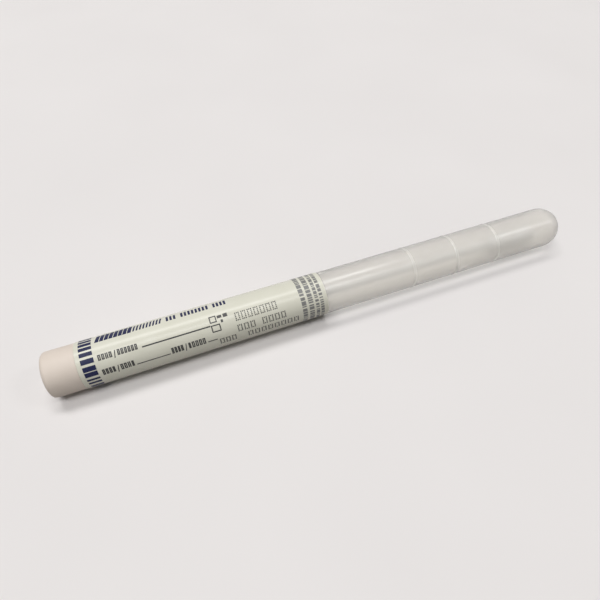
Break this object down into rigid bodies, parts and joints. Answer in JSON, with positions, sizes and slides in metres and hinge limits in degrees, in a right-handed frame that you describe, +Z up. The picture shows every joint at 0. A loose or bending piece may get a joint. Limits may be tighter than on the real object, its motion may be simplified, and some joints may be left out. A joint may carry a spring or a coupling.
{
  "type": "specimen swab tube",
  "caption": "Round-bottomed transport tube with a wrap label and raised rings, closed by a plug cap that carries a swab: cap, shaft and fibre bud pull out together.",
  "frame": {"origin": "on the surface that the tube lies on, under the middle of its bounding box", "axes": "+X along the tube from the cap to the round end, +Z up"},
  "size_m": [0.1586, 0.0126, 0.0126],
  "materials": {
    "tube_plastic": "translucent natural polypropylene, satin",
    "label_film": "white film label with navy and black print fields, glossy",
    "cap_plastic": "off-white moulded polyethylene, fine matt grain",
    "shaft_plastic": "white extruded polystyrene, smooth",
    "bud_fibre": "white wound fibre, soft and fuzzy"
  },
  "bodies": {
    "tube": {"transport_tube": "tube_plastic", "wrap_label": "label_film"},
    "swab": {"cap": "cap_plastic", "swab_shaft": "shaft_plastic", "swab_bud": "bud_fibre"}
  },
  "joints": [
    {"name": "swab_pull", "type": "slide", "parent": "tube", "child": "swab", "axis": [-1, 0, 0], "range_m": [0, 0.15]}
  ]
}
